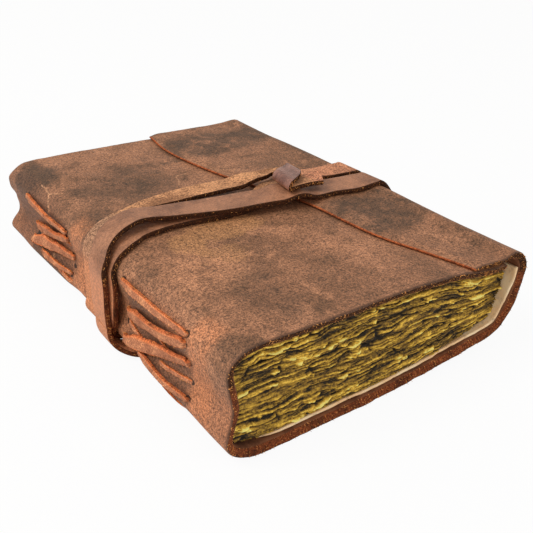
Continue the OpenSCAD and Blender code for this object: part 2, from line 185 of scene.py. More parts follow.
def flap_z(x, y):
    return front_z(x, y) + FLAP_GAP + flap_thick(x, y)


def lifted(h, y):
    """How far the book stands off the floor, on the strap that passes under it."""
    over = ease((y - 34) / 18) * (1 - ease((y - 104) / 20))
    return LIFT * over * hold(1.15 - h / 0.4)


SPINE_H = np.array([0.97, 0.92, 0.85, 0.77, 0.68, 0.59, 0.5, 0.42, 0.33, 0.25, 0.175, 0.11, 0.05])
SPINE_NEAR = [3.5, -0.2, -2.2, -2.4, -1.6, -0.7, -0.05, -0.4, -1.4, -1.9, -1.6, 0.1, 3.4]
SPINE_FAR = [5.5, 2.8, 0.2, -0.1, 0.4, 1.9, 2.4, 2.9, 2.4, 0, -1.3, -0.8, 1.6]
FORE_IN = [9, 4, 1.6, 0, 0, 3.6]
FORE_IN_FAR = [9, 4, 1.6, 0, 0, 1.4]
FORE_NEAR = [0.165, 0.325, 0.455, 0.61, 0.76, 0.885]
FORE_FAR = [0.09, 0.235, 0.405, 0.56, 0.7, 0.88]


def spine_pt(i, y):
    h = SPINE_H[i]
    return np.stack([mix(SPINE_NEAR[i], SPINE_FAR[i], along(y)), h * tall(y) + lifted(h, y)], -1)


def back_z(x, y):
    return lifted(0, y) + mix(BACK_RISE, 1.4, along(y)) * ease((x / wide(y) - 0.42) / 0.5)


def fore_pt(i, y):
    h = mix(FORE_NEAR[i], FORE_FAR[i], along(y))
    return np.stack([wide(y) - mix(FORE_IN[i], FORE_IN_FAR[i], along(y)),
                     h * tall(y) + lifted(h, y)], -1)


def corner_in(y):
    return mix(9, 6, along(y))


FIRST_SPINE, FIRST_BACK, FIRST_FORE, FIRST_FLAP, LAST = 9, 22, 30, 36, 41


def outline(y):
    """Points round the grain side, from the front cover's hidden edge to the flap's free edge."""
    y = np.asarray(y, float)
    w, f = wide(y), flap_x(y)
    xs = [w - 12.5, mix(w - 12.5, f, 0.45), f + 4, f - 5]
    xs += [mix(f - 5, 16, i / 4) for i in (1, 2, 3, 4)]
    points = [np.stack([x + 0 * y, front_z(x, y)], -1) for x in xs]
    points.append(np.stack([9 + 0 * y, front_z(9, y) - 0.15], -1))
    points += [spine_pt(i, y) for i in range(13)]
    points.append(np.stack([mix(8.4, 7.6, along(y)), 0.5 + lifted(0, y)], -1))
    points += [np.stack([x * w / 130, back_z(x * w / 130, y)], -1) for x in (15, 28, 45, 62, 80)]
    points.append(np.stack([w - 33, back_z(w - 33, y)], -1))
    points.append(np.stack([w - 20, back_z(w - 20, y) + 0.3], -1))
    points += [fore_pt(i, y) for i in range(6)]
    c = w - corner_in(y)
    points.append(np.stack([c, flap_z(c, y) + mix(1.2, 0.2, hold(along(y) * 2.5))], -1))
    points += [np.stack([x, flap_z(x, y)], -1) for x in (mix(c, f, i / 5) for i in range(1, 6))]
    return np.stack(points)


def outward(shape, u, each=False):
    """The way out of the leather, square to the outline."""
    pick = curve_each if each else curve
    d = pick(shape, np.minimum(u + 0.05, LAST)) - pick(shape, np.maximum(u - 0.05, 0))
    return unit(np.stack([d[..., 1], -d[..., 0]], -1))


# -------------------------------------------------------------- making the meshes

def settle(points):
    """Gentle unevenness of the whole book, the same for every piece so that they stay clear."""
    x, y, z = points[..., 0], points[..., 1], points[..., 2]
    top = ease((z - 14) / 22)
    side = ease((12 - x) / 14)
    shift = np.zeros(points.shape)
    shift[..., 2] = top * (0.55 * lumps(3, x / 34, y / 38) + 0.22 * lumps(4, x / 15, y / 17))
    shift[..., 0] = side * (0.5 * lumps(5, y / 30, z / 15) + 0.2 * lumps(6, y / 12, z / 8))
    return points + shift


def to_frame(points):
    """From the book's millimetres to the frame's metres."""
    return (settle(points) - [X_MID, Y_MID, 0]) / 1000


def solid(name, points, faces, finishes, which=None, marks=None, smooth=True):
    """One named mesh. which gives each face's finish, marks one number a point."""
    mesh = bpy.data.meshes.new(name)
    mesh.from_pydata(to_frame(points.reshape(-1, 3)).tolist(), [], faces)
    for finish in finishes:
        mesh.materials.append(finish)
    if which is not None:
        mesh.polygons.foreach_set("material_index", np.asarray(which, np.int32))
    for title, values in (marks or {}).items():
        mark = mesh.attributes.new(title, "FLOAT", "POINT")
        mark.data.foreach_set("value", np.asarray(values, np.float32).ravel())
    mesh.polygons.foreach_set("use_smooth", [smooth] * len(mesh.polygons))
    mesh.update()
    piece = bpy.data.objects.new(name, mesh)
    bpy.context.scene.collection.objects.link(piece)
    return piece


def grid_faces(n, m, around=False, start=0):
    """Four-sided faces of n rows of m points; around joins each row's last point to its first."""
    a = np.arange(n - 1)[:, None] * m + np.arange(m if around else m - 1)[None, :]
    b = np.arange(n - 1)[:, None] * m + (np.arange(1, (m if around else m - 1) + 1) % m)[None, :]
    return (np.stack([a, a + m, b + m, b], -1).reshape(-1, 4) + start).tolist()


def finish_piece(piece, slot, *nodes):
    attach(piece, "root")
    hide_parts(*nodes)
    return piece


# ----------------------------------------------------------- materials, as expressions

def srgb(r, g, b):
    """A colour as it looks on a screen, 0 to 255, as the shader wants it."""
    return tuple(c / 12.92 if c <= 0.04045 else ((c + 0.055) / 1.055) ** 2.4
                 for c in (r / 255, g / 255, b / 255)) + (1.0,)


class Value:
    """A number, vector or colour on its way through a material."""

    def __init__(self, paint, socket):
        self.paint, self.socket = paint, socket

    def maths(self, operation, *values):
        return self.paint.node("ShaderNodeMath", {"operation": operation}, dict(enumerate(values)))

    def __add__(self, other):
        return self.maths("ADD", self, other)

    def __radd__(self, other):
        return self.maths("ADD", other, self)

    def __sub__(self, other):
        return self.maths("SUBTRACT", self, other)

    def __rsub__(self, other):
        return self.maths("SUBTRACT", other, self)

    def __mul__(self, other):
        return self.maths("MULTIPLY", self, other)

    def __rmul__(self, other):
        return self.maths("MULTIPLY", other, self)

    def __truediv__(self, other):
        return self.maths("DIVIDE", self, other)

    def __pow__(self, other):
        return self.maths("POWER", self, other)

    def most(self, other):
        return self.maths("MAXIMUM", self, other)

    def size(self):
        return self.maths("ABSOLUTE", self)

    def step(self, low, high):
        """0 below low, 1 above high, and smooth between. low may be the higher number."""
        return self.paint.node("ShaderNodeMapRange", {"interpolation_type": "SMOOTHSTEP"},
                               {0: self, 1: low, 2: high, 3: 0.0, 4: 1.0})


class Paint:
    """One material, made by writing down what its colour, roughness and bump are."""

    def __init__(self, name):
        self.material = bpy.data.materials.new(name)
        self.material.use_nodes = True
        self.tree = self.material.node_tree
        self.tree.nodes.clear()
        self.place = self.node("ShaderNodeTexCoord", {}, {}, "Object")
        self.x, self.y, self.z = (self.node("ShaderNodeSeparateXYZ", {}, {0: self.place}, i)
                                  for i in range(3))

    def node(self, kind, settings=None, inputs=None, output=0):
        made = self.tree.nodes.new(kind)
        for name, value in (settings or {}).items():
            setattr(made, name, value)
        for name, value in (inputs or {}).items():
            if isinstance(value, Value):
                self.tree.links.new(value.socket, made.inputs[name])
            else:
                made.inputs[name].default_value = value
        return Value(self, made.outputs[output]) if len(made.outputs) else None

    def mark(self, title):
        return self.node("ShaderNodeAttribute", {"attribute_name": title}, {}, "Fac")

    def stretched(self, x, y, z):
        """The place with each direction scaled."""
        return self.node("ShaderNodeVectorMath", {"operation": "MULTIPLY"}, {0: self.place, 1: (x, y, z)})

    def noise(self, size, detail=3.0, roughness=0.55, distortion=0.0, place=None):
        """Noise about 0.5, with lumps of this size in metres."""
        return self.node("ShaderNodeTexNoise", {}, {
            "Vector": place or self.place, "Scale": 1 / size, "Detail": detail,
            "Roughness": roughness, "Distortion": distortion})

    def cells(self, size, place=None):
        return self.node("ShaderNodeTexVoronoi", {}, {
            "Vector": place or self.place, "Scale": 1 / size})

    def mixed(self, a, b, t):
        return self.node("ShaderNodeMix", {"data_type": "RGBA"}, {0: t, 6: a, 7: b}, 2)

    def shaded(self, a, factor):
        """Colour a made lighter or darker by a number."""
        return self.node("ShaderNodeVectorMath", {"operation": "SCALE"}, {0: a, "Scale": factor})

    def bump(self, height, depth, strength=1.0, under=None):
        inputs = {"Strength": strength, "Distance": depth, "Height": height}
        if under:
            inputs["Normal"] = under
        return self.node("ShaderNodeBump", {}, inputs)

    def finish(self, colour, roughness, normal=None, **fixed):
        inputs = {"Base Color": colour, "Roughness": roughness}
        if normal:
            inputs["Normal"] = normal
        inputs.update({name.replace("_", " "): value for name, value in fixed.items()})
        shader = self.node("ShaderNodeBsdfPrincipled", {}, inputs)
        self.node("ShaderNodeOutputMaterial", {}, {"Surface": shader})
        return self.material


def spot(paint, x, y, rx, ry, warp, soft=0.55):
    """A soft-edged stain on the front of the book, in millimetres from the middle of the frame."""
    across = (paint.x * 1000 - (x - MARK_SHIFT)) / rx + warp
    up = (paint.y * 1000 - y) / ry + warp * 0.7
    return (across * across + up * up).step(1.0 + soft, 1.0 - soft)


def stroke(paint, start, end, width, warp):
    """A thin scratch on the front, from start to end in millimetres."""
    dx, dy = end[0] - start[0], end[1] - start[1]
    long = math.hypot(dx, dy)
    px, py = paint.x * 1000 - (start[0] - MARK_SHIFT), paint.y * 1000 - start[1]
    run = (px * dx + py * dy) / long
    off = ((py * dx - px * dy) / long + warp).size()
    return off.step(width, width * 0.3) * run.step(-0.6, 0.6) * run.step(long + 0.6, long - 0.6)


def waxed_leather():
    """Grain side of the cover: oiled brown leather with pale rubbed places and dark stains."""
    p = Paint("waxed_cover_leather")
    cloud = p.noise(0.042, 4, 0.6, 0.4)
    patch = p.noise(0.017, 4, 0.62, 0.3)
    speck = p.noise(0.001, 4, 0.85).step(0.35, 0.65)
    fine = p.noise(0.0005, 2, 0.6).step(0.3, 0.7)
    mottle = p.noise(0.0055, 4, 0.72, 0.4)
    warp = (p.noise(0.012, 4, 0.7) - 0.5) * 2.0
    colour = p.mixed(srgb(124, 85, 59), srgb(160, 110, 79), (cloud * 0.65 + mottle * 0.35).step(0.38, 0.62))
    colour = p.mixed(colour, srgb(98, 68, 46), (patch * 0.7 + mottle * 0.3).step(0.48, 0.63) * 0.8)
    rubbed = p.noise(0.02, 4, 0.65, 0.6, p.stretched(1.3, 0.8, 1)) * 0.7 + mottle * 0.3
    colour = p.mixed(colour, srgb(174, 121, 88), rubbed.step(0.49, 0.62) * 0.75)
    tan = (spot(p, -18, -17, 17, 9, warp) + spot(p, -38, -24, 7, 9, warp)
           + spot(p, -30, -36, 10, 7, warp) * 0.7)
    colour = p.mixed(colour, srgb(176, 124, 80), tan.step(0.0, 1.2) * 0.7)
    dark = (spot(p, -35, -70, 9, 17, warp, 0.9) * 0.7 + spot(p, -30, -52, 10, 8, warp, 0.9) * 0.5
            + spot(p, -26, 42, 26, 17, warp, 0.9) * 0.8 + spot(p, -56, 72, 8, 13, warp, 0.8) * 1.9
            + spot(p, 30, 66, 34, 15, warp, 0.9) * 1.2 + spot(p, 40, -36, 18, 18, warp, 0.9) * 1.3
            + spot(p, -56, 8, 7, 16, warp, 0.9) * 0.9)
    broken = 0.3 + 1.1 * mottle.step(0.3, 0.66)
    colour = p.mixed(colour, srgb(74, 54, 38), (dark * broken).step(0.0, 1.5) * 0.8)
    # Painted light and a redder tone: the lower spine face is painted lighter and redder, partly as light
    # falling on that side and partly as its own colour.
    red = p.x.step(-0.054, -0.066) * p.z.step(0.03, 0.02)
    colour = p.mixed(colour, srgb(184, 118, 80), red * 0.6)
    between = (p.x.step(-0.06, -0.062) * p.z.step(0.033, 0.03)
               * ((p.y + 0.046).size().step(0.0225, 0.0175).most((p.y - 0.0445).size().step(0.021, 0.0165))))
    far_half = p.y.step(0.0, 0.02)
    colour = p.mixed(colour, srgb(108, 74, 54), between * mottle.step(0.15, 0.5) * (0.75 + 0.2 * far_half))
    colour = p.mixed(colour, srgb(92, 50, 30), p.x.step(0.059, 0.0655) * 0.8)
    colour = p.mixed(colour, srgb(92, 58, 40), p.x.step(-0.056, -0.06) * p.y.step(0.02, 0.05) * 0.35)
    pale = spot(p, -42, -43, 14, 14, warp, 0.9)
    colour = p.mixed(colour, srgb(196, 136, 98), pale * mottle.step(0.3, 0.6) * 0.55)
    rubbed = (p.x.step(-0.055, -0.06)
              * ((p.y + 0.0735).size().step(0.0075, 0.0035).most((p.y - 0.0165).size().step(0.0075, 0.0035))))
    colour = p.mixed(colour, srgb(200, 126, 82), rubbed * mottle.step(0.25, 0.6) * 0.6)
    wobble = (p.noise(0.006, 2) - 0.5) * 2.4
    scratch = (stroke(p, (-58, 61), (-59, 51), 0.5, wobble) + stroke(p, (-59, 51), (-63, 42), 0.45, wobble)
               + stroke(p, (-59, 51), (-55, 45), 0.4, wobble) + stroke(p, (-6.5, 39), (-1, 40), 0.4, wobble)
               + stroke(p, (-6.5, 39), (-10.5, 29), 0.4, wobble)
               + stroke(p, (10, 34), (22, 25), 0.35, wobble))
    colour = p.mixed(colour, srgb(202, 148, 108), scratch * (0.25 + mottle * 0.9) * 0.8)
    brim = ((p.y * 1000).size() + (speck - 0.5) * 0.8).step(88.9, 89.8)
    colour = p.mixed(colour, srgb(58, 36, 24), brim * 0.8)
    colour = p.shaded(colour, 0.27 + 0.95 * speck + 0.54 * fine)
    # Painted shade: dark discs at the lacing holes stand for the shade inside each hole.
    hole_shade = 0.0
    for y, h in [c[i:i + 2] for c in NEAR_COURSE + FAR_COURSE for i in (0, 2)] + SPARE_HOLES:
        high = h * tall(y) + lifted(h, y)
        along_y, up = (p.y * 1000 - (y - Y_MID)) / 1.4, (p.z * 1000 - high) / 1.0
        hole_shade = hole_shade + (along_y * along_y + up * up).step(1.3, 0.5)
    colour = p.mixed(colour, srgb(34, 20, 12), hole_shade.step(0.0, 0.8) * p.x.step(-0.05, -0.054) * 0.9)
    grain = p.cells(0.0007) * 0.5 + speck * 0.35
    normal = p.bump(grain, 0.00022, 0.7)
    normal = p.bump(p.noise(0.009, 3, 0.55), 0.0009, 0.45, normal)
    return p.finish(colour, 0.5 + 0.22 * patch, normal, **{"Specular IOR Level": 0.36})


def raw_edge(name="raw_cut_edge", light=1.0, painted_shade=0.88):
    """Cut edge of the leather: reddish brown suede with orange fibres. The third argument darkens it high on
    the book, as painted shade, and light scales its whole colour, as painted light.
    """
    p = Paint(name)
    fleck = p.noise(0.0006, 3, 0.75)
    long = p.noise(0.0045, 3, 0.6)
    colour = p.mixed(srgb(84, 42, 24), srgb(146, 78, 44), fleck.step(0.34, 0.66))
    colour = p.mixed(colour, srgb(188, 108, 62), (fleck * 0.6 + long * 0.4).step(0.55, 0.7) * 0.7)
    colour = p.mixed(colour, srgb(54, 30, 20), long.step(0.5, 0.34) * 0.6)
    if painted_shade:
        # Painted shade: the cut edge is darkened high on the book.
        upper = p.z.step(0.0275, 0.0315)
        colour = p.mixed(colour, srgb(40, 25, 15), upper * painted_shade)
        fibres = p.noise(0.0007, 3, 0.8, 0.5, p.stretched(1.3, 0.7, 1)).step(0.54, 0.68)
        colour = p.mixed(colour, srgb(202, 128, 66), upper * fibres * 0.4)
    # Painted light: the whole edge colour is scaled lighter or darker by the factor light.
    colour = p.shaded(colour, light)
    normal = p.bump(p.noise(0.0005, 3, 0.7), 0.0004, 0.8)
    return p.finish(colour, 0.92, normal, **{"Specular IOR Level": 0.15})


def flesh_side():
    """Inside of the cover: matt, dark and a little fibrous."""
    p = Paint("flesh_side_leather")
    colour = p.mixed(srgb(92, 56, 38), srgb(128, 82, 56), p.noise(0.006, 4, 0.6).step(0.35, 0.65))
    normal = p.bump(p.noise(0.0008, 3, 0.7), 0.0003, 0.6)
    return p.finish(colour, 0.93, normal, **{"Specular IOR Level": 0.15})


def strap_face():
    """Strap: smooth pinkish brown grain, with the tan fibrous flesh side where the strap is turned over."""
    p = Paint("strap_leather")
    flesh, knot = p.mark("flesh"), p.mark("knot")
    cloud = p.noise(0.013, 4, 0.7)
    fine = p.noise(0.0008, 4, 0.8).step(0.33, 0.67)
    grain_tone = p.mixed(srgb(126, 84, 60), srgb(172, 118, 86), cloud.step(0.34, 0.66))
    flesh_tone = p.mixed(srgb(142, 96, 64), srgb(204, 146, 102), (cloud * 0.85 + fine * 0.12).step(0.36, 0.6))
    colour = p.mixed(grain_tone, flesh_tone, flesh)
    # Painted light: where the strap runs down the spine side it is painted lighter and more orange.
    colour = p.mixed(colour, srgb(206, 134, 92), p.x.step(-0.058, -0.063) * p.z.step(0.04, 0.026) * 0.9)
    corner = flesh * p.x.step(-0.044, -0.055) * p.z.step(0.026, 0.034)
    colour = p.mixed(colour, p.mixed(srgb(92, 68, 54), srgb(176, 134, 106), fine), corner * 0.75)
    beyond = p.mixed(srgb(128, 78, 56), srgb(204, 134, 100), (fine * 0.3 + cloud * 0.7).step(0.36, 0.6))
    colour = p.mixed(colour, beyond, flesh * p.x.step(0.024, 0.029) * p.z.step(0.03, 0.036) * 0.85)
    colour = p.mixed(colour, p.mixed(srgb(116, 76, 64), srgb(164, 116, 100), cloud.step(0.4, 0.6)), knot)
    colour = p.shaded(colour, (0.68 - 0.16 * flesh) + (0.62 + 0.36 * flesh) * fine)
    normal = p.bump(fine * 0.4 + p.cells(0.0007) * 0.4, 0.00022, 0.6)
    return p.finish(colour, 0.5 + 0.35 * flesh - 0.22 * knot, normal, **{"Specular IOR Level": 0.4})


def thong_face():
    """Lacing: soft orange tan thong, less orange on the middle of its face, with a painted orange highlight
    towards its upper edge.
    """
    p = Paint("thong_leather")
    middle = p.mark("middle")
    tone = p.noise(0.005, 4, 0.6)
    fine = p.noise(0.0006, 3, 0.75)
    # Painted highlight: the face turns orange where middle is low, towards its upper edge.
    colour = p.mixed(srgb(226, 126, 72), srgb(170, 110, 80), middle)
    colour = p.mixed(colour, srgb(240, 168, 118), (tone * 0.5 + fine * 0.5).step(0.5, 0.62) * 0.6)
    colour = p.mixed(colour, srgb(96, 54, 34), (tone * 0.5 + fine * 0.5).step(0.47, 0.36) * 0.7)
    colour = p.shaded(colour, 0.4 + 1.35 * fine)
    normal = p.bump(fine, 0.0003, 0.8)
    return p.finish(colour, 0.88, normal, **{"Specular IOR Level": 0.2})


def pale_lining():
    p = Paint("pale_lining")
    colour = p.mixed(srgb(244, 200, 150), srgb(252, 226, 186), p.noise(0.012, 4, 0.6).step(0.35, 0.65))
    smudge = p.noise(0.004, 4, 0.7, 0.5).step(0.54, 0.72)
    colour = p.mixed(colour, srgb(140, 118, 100), smudge * 0.5)
    normal = p.bump(p.noise(0.0012, 3, 0.6), 0.0002, 0.5)
    return p.finish(colour, 0.85, normal, **{"Specular IOR Level": 0.2})


def torn_paper():
    """Page ends: olive to gold, with painted shade darkest in the clefts and painted highlight brightest on
    the torn edges that stand out.
    """
    p = Paint("torn_page_ends")
    reach = p.mark("reach")
    streak = p.noise(0.0022, 4, 0.7, 0.2, p.stretched(0.14, 0.6, 1.5))
    fleck = p.noise(0.0009, 4, 0.8)
    # The reach mark carries painted light: painted shade in the clefts, up to painted highlight on the torn
    # edges that stand out.
    tone = reach * 1.4 - 0.19 + (streak - 0.5) * 0.8 + (fleck - 0.5) * 1.1
    colour = p.mixed(srgb(30, 20, 3), srgb(116, 86, 26), tone.step(0.02, 0.3))
    colour = p.mixed(colour, srgb(182, 142, 46), tone.step(0.3, 0.54))
    colour = p.mixed(colour, srgb(244, 198, 74), tone.step(0.58, 0.78))
    colour = p.mixed(colour, srgb(255, 238, 130), tone.step(0.82, 1.0))
    normal = p.bump(streak + fleck * 0.6, 0.0005, 0.7)
    return p.finish(colour, 0.7, normal, **{"Specular IOR Level": 0.35})


# ------------------------------------------------------------------------ pieces

def loose_fibre():
    """Short loose fibres on the cut edges."""
    p = Paint("loose_leather_fibre")
    colour = p.mixed(srgb(110, 64, 36), srgb(242, 168, 96), p.noise(0.0016, 2, 0.7).step(0.38, 0.56))
    return p.finish(colour, 0.9, **{"Specular IOR Level": 0.15})


def fibres(name, roots, ways, length, slot, node, seed):
    """Thin pointed fibres, one from each root along its way."""
    chance = np.random.default_rng(seed)
    ways = unit(ways + chance.normal(0, 0.5, roots.shape))
    side = unit(np.cross(ways, chance.normal(0, 1, roots.shape)))
    other = np.cross(ways, side)
    long = length * (0.35 + chance.random(len(roots)) ** 2)[:, None]
    foot = [roots - ways * 0.2 + FIBRE * (side * math.cos(a) + other * math.sin(a))
            for a in (0, 2.094, 4.189)]
    points = np.stack(foot + [roots + ways * long], 1)
    four = np.arange(len(roots))[:, None, None] * 4 + np.array([[0, 2, 1], [0, 1, 3], [1, 2, 3], [2, 0, 3]])
    piece = solid(name, points, four.reshape(-1, 3).tolist(), [loose_fibre()], smooth=False)
    return finish_piece(piece, slot, node)


def even_places(count, rows=(0.0, 90.0, 180.0)):
    """Places on the outline, about the same distance apart all round."""
    u = np.linspace(0, LAST, 2000)
    run = 0
    for y in rows:
        p = curve(outline(np.array([y])), u)[:, 0]
        run = run + np.concatenate([[0], np.cumsum(np.linalg.norm(np.diff(p, axis=0), axis=1))])
    return np.interp(np.linspace(0, run[-1], count), run, u)


def make_cover():
    """One folded sheet: front cover, spine, back cover, wall and flap, with raw skived ends."""
    start = np.array([0, 0.12, 0.3, 0.55, 0.9, 1.4, 2.0, 2.8, 3.7, 4.8])
    outer = np.concatenate([start, np.linspace(6, 174, 214), 180 - start[::-1]])
    inner = np.concatenate([np.linspace(177.3, 160, 14), np.linspace(150, 30, 14), np.linspace(20, 2.7, 18)])
    cut = np.linspace(0, 1, 9)[1:-1]
    y = np.concatenate([outer, 180 - SKIVE * cut, inner, SKIVE * cut[::-1]])
    depth = np.concatenate([0 * outer, cut, 1 + 0 * inner, cut[::-1]])
    end = np.concatenate([0 * outer, 0 * cut - 1, 0 * inner, 0 * cut + 1])
    u = even_places(290)
    shape = outline(y)
    skin, away = curve(shape, u), outward(shape, u)
    thick = np.where(u[:, None] < FIRST_FLAP, LEATHER, flap_thick(skin[..., 0], y[None]))
    pared = (FLAP_EDGE - 0.9) * (1 - ease((skin[..., 0] - flap_x(y)[None]) / 5)) * (u[:, None] > FIRST_FLAP)
    skin, thick = skin - away * pared[..., None], thick - pared
    rounded = 0.45 * (1 - hold(np.minimum(y, 180 - y) / 0.9)) ** 2 * (depth == 0)
    skin, thick = skin - away * rounded[None, :, None], thick - rounded[None]

    def end_line(at, way):
        """The way in which the sheet runs out at a free end."""
        return way * unit(curve(shape, u[at]) - curve(shape, u[at] - way * 0.05))

    ends = []
    for at, way in ((0, -1), (-1, 1)):
        line = end_line(at, way)
        for turn in np.linspace(0, 1, 6)[1:]:
            half = math.cos(turn * 1.45)
            back = 0.55 - 0.55 * math.sin(turn * math.pi / 2)
            ends.append(skin[at] - line * back - away[at] * thick[at][:, None]
                        * (0.5 + (depth[:, None] - 0.5) * half))
    body = skin - away * (thick * depth[None])[..., None]
    for at, way in ((0, -1), (-1, 1)):
        body[at] = body[at] - end_line(at, way) * 0.55
    grid = np.concatenate([np.stack(ends[4::-1]), body, np.stack(ends[5:])])
    n, m = grid.shape[:2]
    x3 = np.stack([grid[..., 0], np.broadcast_to(y, (n, m)), grid[..., 1]], -1)
    cut_slope = np.interp(np.concatenate([[0] * 5, u, [LAST] * 5]), [0, 9, 12, 18, 21, 31, 34, 41],
                          [1.5, 1.5, 1.4, 1.3, 1.8, 1.8, 1.5, 1.4])[:, None]
    from_end = np.minimum(y, 180 - y) - SKIVE * depth
    x3[..., 1] += (np.where(y < 90, -1, 1) * depth * np.exp(-from_end / 3))[None] * (SKIVE - cut_slope)
    fuzz = np.minimum(np.sin(depth * math.pi), 1)[None] * (np.abs(end) > 0)[None]
    shag = rough(11, x3[..., 0] / 2.1, x3[..., 2] / 2.1, x3[..., 1] / 1.2)
    x3[..., 1] += -end[None] * fuzz * (0.25 + 0.2 * shag)
    fine = 0.12 * rough(12, x3[..., 0] / 3.5, x3[..., 1] / 3.5, x3[..., 2] / 3.5)
    wavy = 0.28 * rough(14, x3[..., 0] / 9, x3[..., 2] / 9)
    lip = np.exp(-np.minimum(x3[..., 1], 180 - x3[..., 1]) / 4)
    x3[..., 1] += lip * (wavy + fine) * np.where(x3[..., 1] < 90, 1, -1)
    faces = grid_faces(n, m, around=True)
    ring = np.concatenate([0 * outer, 1 + 0 * cut, 2 + 0 * inner, 1 + 0 * cut]).astype(int)
    column = np.repeat(np.arange(n - 1), m)
    kind = np.tile(ring, n - 1)
    kind[(column < 5) | (column >= n - 6)] = 3
    faces = [f[::-1] for f in faces]
    # The cover's cut edges take the default painted shade high on the book; the flap's free edge is the same
    # finish at 2.1 times its brightness, as painted light, with no painted shade.
    finishes = [waxed_leather(), raw_edge(), flesh_side(), raw_edge("flap_free_edge", 2.1, 0)]
    piece = solid("journal_cover", x3, faces, finishes, kind)
    chance = np.random.default_rng(3)
    pick = chance.integers(5, n - 5, COVER_FIBRES), chance.integers(0, len(cut), COVER_FIBRES)
    roots = x3[pick[0], len(outer) + len(cut) + len(inner) + pick[1]]
    outward_way = np.tile([0, -1.0, 0], (COVER_FIBRES, 1))
    fibres("cover_edge_fibres", roots, outward_way, 0.8, "cover_leather", "cover", 31)
    return finish_piece(piece, "cover_leather", "cover")


def make_lining():
    """Pale sheet in the back cover, turned up the fore edge wall. Its near lip stands off a little."""
    u = np.linspace(FIRST_BACK + 0.5, FIRST_FORE + 4, 150)
    y = np.concatenate([np.linspace(1.9, 12, 16), np.linspace(20, 160, 15), np.linspace(168, 178.1, 12)])
    shape = outline(y)
    skin, away = curve(shape, u), outward(shape, u)
    f = (np.arange(150) / 149)[:, None]
    grow = LINING_GAP + LINING * hold(0.25 + f * 6)
    curl = np.exp(-(y[None] - 1.9) / 2.2) * 0.8 * ease(f * 9) * (1 - ease((f - 0.5) / 0.2))
    low = skin - away * (LEATHER + LINING_GAP + curl)[..., None]
    high = skin - away * (LEATHER + grow + curl)[..., None]
    ring = np.concatenate([low, high[::-1]])
    x3 = np.stack([ring[..., 0], np.broadcast_to(y, ring.shape[:2]), ring[..., 1]], -1)
    fade = np.exp(-(x3[..., 1] - 1.9) / 3)
    x3[..., 1] += 0.35 * rough(21, x3[..., 0] / 7, x3[..., 2] / 7) * fade
    x3[..., 1] += 3.4 * (1 - ease((x3[..., 0] - 6) / 16)) * fade
    x3 = x3.transpose(1, 0, 2)
    n, m = x3.shape[:2]
    faces = grid_faces(n, m, around=True)
    half = m // 2
    for row, way in ((0, 1), (n - 1, -1)):
        for i in range(half - 1):
            face = [row * m + i, row * m + i + 1, row * m + m - 2 - i, row * m + m - 1 - i]
            faces.append(face[::way])
    piece = solid("pale_lining_sheet", x3, faces, [pale_lining()])
    return finish_piece(piece, "lining_paper", "lining")


def page_place(across, f, y):
    """x and z on the page ends: across from spine to fore edge, f from bottom to top, each 0 to 1."""
    clear = LINING_GAP * 2 + LINING + PAGE_GAP
    y = np.full(np.shape(f), float(y)) if np.ndim(y) == 0 else y
    left = np.stack([mix(SPINE_NEAR[k], SPINE_FAR[k], along(y)) for k in range(13)])
    right = np.stack([wide(y) - mix(FORE_IN[k], FORE_IN_FAR[k], along(y)) for k in range(6)])

    def pick(table, u):
        return curve_each(table.reshape(len(table), -1)[..., None], u.ravel())[:, 0].reshape(u.shape)

    laced = ease((y - 10) / 12) * ease((170 - y) / 12)
    x0 = (pick(left, mix(10.6, 2.4, f)) + LEATHER + PAGE_GAP + 0.2
          + laced * (THONG + 2 * THONG_GAP + 1.5))
    x1 = (pick(right, mix(0.75, 4.6, f)) - LEATHER - clear - mix(2.6, 0.7, hold(f * 5))
          - 3.2 * ease((f - 0.8) / 0.2))
    x = mix(x0, x1, across)
    low = (back_z(x, y) + LEATHER + clear + 0.25 + 1.6 * (1 - ease((x - 4) / 9))
           + 1.2 * ease((x - wide(y) + 25) / 14))
    high = front_z(x, y) - LEATHER - PAGE_GAP - 0.15 - 1.8 * (1 - ease((x - 4) / 9))
    return x, mix(low, high, f)


def torn_ends(x, f, seed):
    """How far the torn page ends stand out, in millimetres, and how light they are painted: painted shade in
    the clefts, creases and gaps between leaves, painted highlight on the torn edges and tufts that stand out.
    """
    drift = 0.55 * rough(seed, x / 30, f * 3) + 0.12 * rough(seed + 1, x / 6, f * 8)
    group = f * 10.5 + drift
    part = group - np.floor(group)
    number = np.floor(group)
    parted = ease(0.35 + 1.3 * lumps(seed + 2, x / 22, number * 3.7))
    cleft = np.exp(-(np.minimum(part, 1 - part) / 0.07) ** 2) * parted
    stack = group * 4.6 + 0.5 * lumps(seed + 3, x / 3.2, group)
    leaf = np.floor(stack)
    torn = 0.5 * lumps(seed + 4, x / 14, leaf * 5.3) + 0.26 * lumps(seed + 5, x / 3.2, leaf * 3.1)
    torn = torn + 0.16 * lumps(seed + 6, x / 0.7, leaf * 7.7)
    gap = np.exp(-((stack - leaf) / 0.3) ** 2) * ease(0.5 + lumps(seed + 9, x / 5, leaf * 2.3))
    crease = np.exp(-(np.abs(lumps(seed + 7, x / 13, group * 1.3)) / 0.05))
    tuft = ease((rough(seed + 8, x / 6.5, group * 1.5) - 0.6) / 0.5)
    reach = 0.62 + 0.75 * torn - 1.6 * cleft - 1.0 * crease - 0.5 * gap + 0.9 * tuft
    # Painted light: painted shade in clefts, creases and gaps, painted highlight on torn edges and tufts that
    # stand out.
    painted_light_and_shade = hold(0.47 + 0.55 * torn - 0.8 * cleft - 0.6 * crease - 0.42 * gap + 0.5 * tuft)
    return reach, painted_light_and_shade


